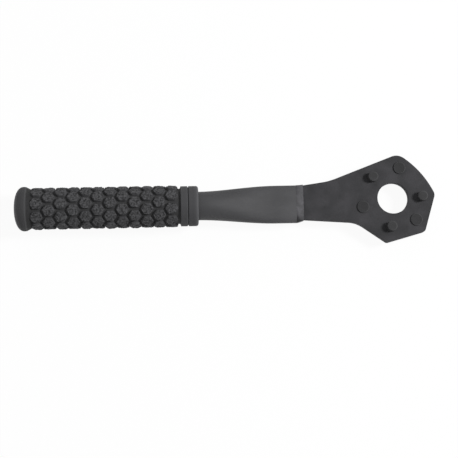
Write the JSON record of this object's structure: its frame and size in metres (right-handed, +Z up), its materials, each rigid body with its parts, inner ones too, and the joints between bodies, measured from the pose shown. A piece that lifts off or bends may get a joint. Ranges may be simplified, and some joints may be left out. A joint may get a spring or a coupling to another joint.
{
  "type": "cassette wrench",
  "caption": "Flat steel head with sprocket pins on both faces around a round hole, welded to a flattened tube handle with a studded rubber grip; holds a bicycle sprocket still.",
  "frame": {"origin": "on the bench, under the middle of the wrench's box, as it lies on its flange and rear pins", "axes": "+X along the handle from grip to head, +Y across the head, +Z up from the bench on the side of the front pins"},
  "size_m": [0.3276, 0.069, 0.037],
  "materials": {
    "head_steel": "matt black coated steel, fine grain",
    "pin_steel": "matt black coated steel, turned",
    "tube_steel": "matt black coated tube, drawn along its length",
    "weld": "dressed weld under the coating",
    "grip_rubber": "moulded rubber, rough stud tops"
  },
  "bodies": {
    "root": {"head_plate": "head_steel", "front_pin_1": "pin_steel", "front_pin_2": "pin_steel", "front_pin_3": "pin_steel", "rear_pin_1": "pin_steel", "rear_pin_2": "pin_steel", "rear_pin_3": "pin_steel", "handle_tube": "tube_steel", "weld_bead": "weld", "rubber_grip": "grip_rubber"}
  },
  "joints": []
}
